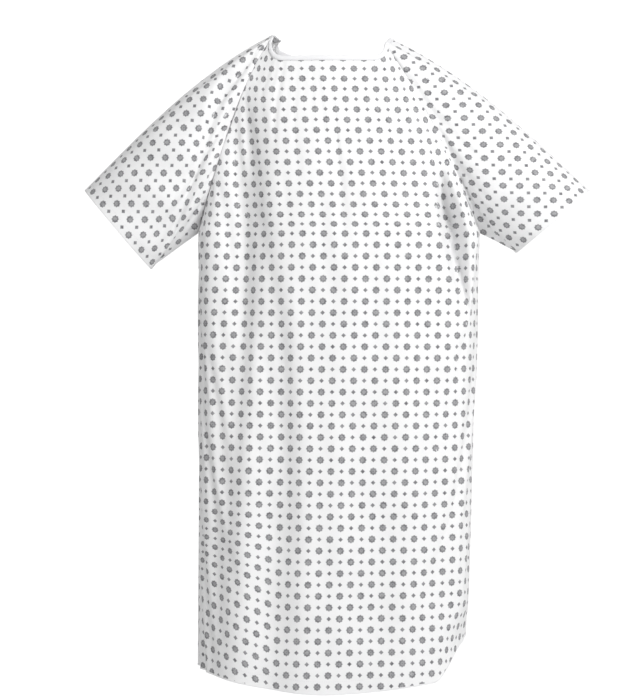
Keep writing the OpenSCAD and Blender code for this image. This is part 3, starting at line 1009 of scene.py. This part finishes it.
frontHem = turnedEdge("frontHem", panels["front"], "lastRow", hem["height"], 1)
dress(frontHem, ["front_hem"])
trims = {"front": [frontHem]}
for side in sides:
    sign = sides[side]["sign"]
    back, sleeve = panels["back_" + side], panels["sleeve_" + side]
    backHem = turnedEdge("backHem_" + side, back, "lastRow", hem["height"], sign)
    dress(backHem, ["back_side_hem_" + side, "back_flap_hem_" + side], side)
    lowest = back["pts"].shape[0] - 1 - 3.2
    facing = turnedEdge("backFacing_" + side, back, "lastCol", hem["facing"], -sign, 0.9, lowest, 130)
    dress(facing, ["back_facing_" + side], side)
    cuff = turnedEdge("sleeveHem_" + side, sleeve, "lastRow", hem["cuff"], sign)
    dress(cuff, ["sleeve_hem_" + side])
    trims["back_" + side] = [backHem, facing]
    trims["sleeve_" + side] = [cuff]
print("hems and facings made")

# overlocked allowances, pressed to one side on the inside of each seam
allowance = [(0.0006, -0.0022), (0.003, -0.0026), (seams["allowance"], -0.0022)]
rows = grids["upperRows"]
for side in sides:
    sign = sides[side]["sign"]
    back, sleeve = panels["back_" + side], panels["sleeve_" + side]
    ring = sleeve["pts"].shape[1] - 1
    seamsHere = {
        "frontRaglanSeam_": ("front_raglan_seam_", sleeve, "firstRow", 1.5, rows - 2.0, -sign),
        "backRaglanSeam_": ("back_raglan_seam_", sleeve, "firstRow", ring - rows + 2.0, ring - 1.5,
                            -sign),
        "underarmSeam_": ("underarm_seam_", sleeve, "firstCol", 1.5, sleeve["pts"].shape[0] - 4.5, sign),
        "sideSeam_": ("side_seam_", back, "firstCol", rows + 1.0, back["pts"].shape[0] - 4.5, sign),
    }
    for name, (node, panel, edge, first, last, face) in seamsHere.items():
        strip = stripPart(band(panel, edge, allowance, first, last), face, seams["thread"])
        seam = partsPiece(name + side, [strip], [overlockedEdge])
        dress(seam, [node + side])
        trims[("back_" if panel is back else "sleeve_") + side].append(seam)
print("seams made")

binding = {
    # distance down the cloth and distance out, over the edge from the outside to the inside
    "profile": [(0.0090, 0.0009), (0.0086, 0.0014), (0.0050, 0.0016), (0.0012, 0.0017),
                (-0.0006, 0.0012), (-0.0012, 0.0), (-0.0006, -0.0016), (0.0012, -0.0022),
                (0.0060, -0.0022), (0.0094, -0.0018)],
    "fabric": 0.0005,
    "pucker": 0.00025,
    "puckerWave": 0.007,
    "stitchLine": (0.0072, 0.0017),  # down the cloth and out
    "evenings": 3,  # the frames are evened this often, so that the tape turns corners without a crease
}


def neckFrames(panel, columns):
    grid = panel["pts"]
    n = normalsOf(grid, panel["sign"])
    k = np.array(columns, float)
    p = sample(grid, 0 * k, k)
    down = unit(sample(grid, 0 * k + 1, k) - p)
    return p, down, unit(sample(n, 0 * k + 0.5, k))


def bindingPart(frames, sign):
    p, down, n = [np.concatenate(f) for f in zip(*frames)]
    for _ in range(binding["evenings"]):
        down[1:-1] = unit(down[:-2] + 2 * down[1:-1] + down[2:])
        n[1:-1] = unit(n[:-2] + 2 * n[1:-1] + n[2:])
    run = np.cumsum(np.linalg.norm(np.diff(p, axis=0, prepend=p[:1]), axis=-1))
    puckers = binding["pucker"] * np.sin(2 * math.pi * run / binding["puckerWave"])
    rowsOut = []
    for d, o in binding["profile"]:
        rowsOut.append(p + down * d + n * (o + puckers * np.sign(o))[:, None])
    pts = np.array(rowsOut)
    line = p + down * binding["stitchLine"][0] + n * binding["stitchLine"][1]
    return [stripPart(pts, -sign, binding["fabric"]),
            stitchPart(line, n, stitch["pitch"], stitch["length"], stitch["radius"])]


def neckLoop():
    # from one sleeve over the front to the other
    ring = panels["sleeve_left"]["pts"].shape[1] - 1
    return [neckFrames(panels["sleeve_right"], np.arange(ring - rows - 1, rows, -1)),
            neckFrames(panels["front"], np.arange(0.6, grids["frontColumns"] - 0.5, 1)),
            neckFrames(panels["sleeve_left"], np.arange(rows + 1, ring - rows, 1))]


neckBinding = partsPiece("neckBinding", bindingPart(neckLoop(), 1), [biasBinding, sewingThread])
dress(neckBinding, ["neck_binding"])
trims["front"].append(neckBinding)
for side in sides:
    sign = sides[side]["sign"]
    count = panels["back_" + side]["pts"].shape[1]
    frames = [neckFrames(panels["back_" + side], np.arange(0, count, 1))]
    end = partsPiece("neckBindingEnd_" + side, bindingPart(frames, sign), [biasBinding, sewingThread])
    dress(end, ["neck_binding_end_" + side], side)
    trims["back_" + side].append(end)
print("neck bound")

tie = {
    "width": 0.012,
    "thick": 0.0009,
    "length": 0.300,
    "inset": 0.012,  # from the back edge to the middle of the tape
    "clear": 0.0026,  # off the outside of the flap
    "sway": 0.005,
    "tuck": 0.006,  # sewn down above the fold of the tape
    "bend": 0.020,
    "pressed": 0.0016,  # off the flap where it is sewn down
    "wave": 0.0042,
    "waves": 1.7,
    "twist": 0.35,
    "cup": 0.0006,
    "splay": 0.0022,
    "endFold": 0.0012,
}
tack = {"up": 0.0035, "points": 29, "zigzag": 0.0013, "rails": (-0.0014, 0.0, 0.0014)}


def flapPoint(side, inset, z):
    # the outside of the back flap at a distance in from its edge
    grid = panels["back_" + side]["pts"]
    edge = grid[:, -1]
    i = np.interp(-z, -edge[:, 2], np.arange(len(edge)))
    base, inner = sample(grid, i, 0 * i + grid.shape[1] - 1), sample(grid, i, 0 * i + grid.shape[1] - 2)
    step = np.linalg.norm(inner - base, axis=-1)
    j = grid.shape[1] - 1 - inset / step
    n = normalsOf(grid, panels["back_" + side]["sign"])
    return sample(grid, i, j), unit(sample(n, i, j))


def makeTie(name, side, drop, phase):
    sign = sides[side]["sign"]
    z = np.linspace(-drop + tie["tuck"], -drop - tie["length"], 64)
    p, n = flapPoint(side, tie["inset"], z)
    run = share((-z - drop) / tie["length"])
    # the tape hangs in its own slow waves, clear of the flap
    out = tie["clear"] * ease(run / 0.05) + tie["pressed"] * (1 - ease(run / 0.05))
    swell = 1 - np.cos(2 * math.pi * (run * tie["waves"] + phase))
    out = out + tie["wave"] * ease(run / 0.3) * swell / 2
    middle = np.stack([0 * z + p[:1, 0] + sign * tie["sway"] * ease(run) * np.sin(5 * run + phase),
                       p[:, 1], z], -1)
    twist = tie["twist"] * ease(run) * np.sin(2 * math.pi * run + phase * 4)
    lines = []
    for k in np.linspace(-0.5, 0.5, 6):
        across = np.stack([np.cos(twist), np.sin(twist) * sign, 0 * z], -1) * k * tie["width"]
        cup = tie["cup"] * (1 - (2 * k) ** 2)
        away = out + cup + tie["splay"] * run
        lines.append(middle + across * sign + np.array([0, 1.0, 0]) * away[:, None])
    pts = np.stack(lines, 1)
    tape = stripPart(pts, -1, tie["thick"])
    # the cut end is turned up and stitched
    foldUp = pts[-5:] + np.array([0, tie["endFold"], 0])
    turned = stripPart(foldUp, -1, tie["thick"])
    row = foldUp[1] + np.array([0, tie["endFold"], 0])
    thread = stitchPart(row, np.tile([0.0, 1.0, 0.0], (len(row), 1)), 0.0026, 0.0022, 0.0004)
    piece = partsPiece(name, [tape, turned, thread], [wovenTape, sewingThread])
    root = middle[0] + np.array([0, out[0], 0])
    body = name.replace("Tie_", "_tie_")
    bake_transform(piece)
    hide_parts(body)
    return root, pts


for side in sides:
    parts = []
    for name, high, phase in (("neckTie_", tieHigh, 0.15), ("waistTie_", waistHigh, 0.6)):
        drop = -high.z
        root, pts = makeTie(name + side, side, drop, phase + (0.3 if side == "right" else 0.0))
        # a bar tack across the tape: close zigzag stitches over a straight pair
        x = np.linspace(-0.45, 0.45, tack["points"]) * tie["width"]
        zig = np.where(np.arange(tack["points"]) % 2, tack["zigzag"], -tack["zigzag"])
        centre = pts[0].mean(0)
        line = np.stack([centre[0] + x, 0 * x + centre[1] + 0.0007, -drop + tack["up"] + zig], -1)
        normal = np.tile([0.0, 1.0, 0.0], (tack["points"], 1))
        parts.append(stitchPart(line, normal, 0.0026, 0.0029, 0.0005, 0))
        for offset in tack["rails"]:
            rail = line.copy()
            rail[:, 2] = -drop + tack["up"] + offset
            parts.append(stitchPart(rail, normal, 0.0022, 0.0026, 0.00045, 0))
    tacks = partsPiece("tieTacks_" + side, parts, [sewingThread])
    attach(tacks, "flap_" + side)
    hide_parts("tie_tacks_" + side)
    trims["back_" + side].append(tacks)
print("ties made")
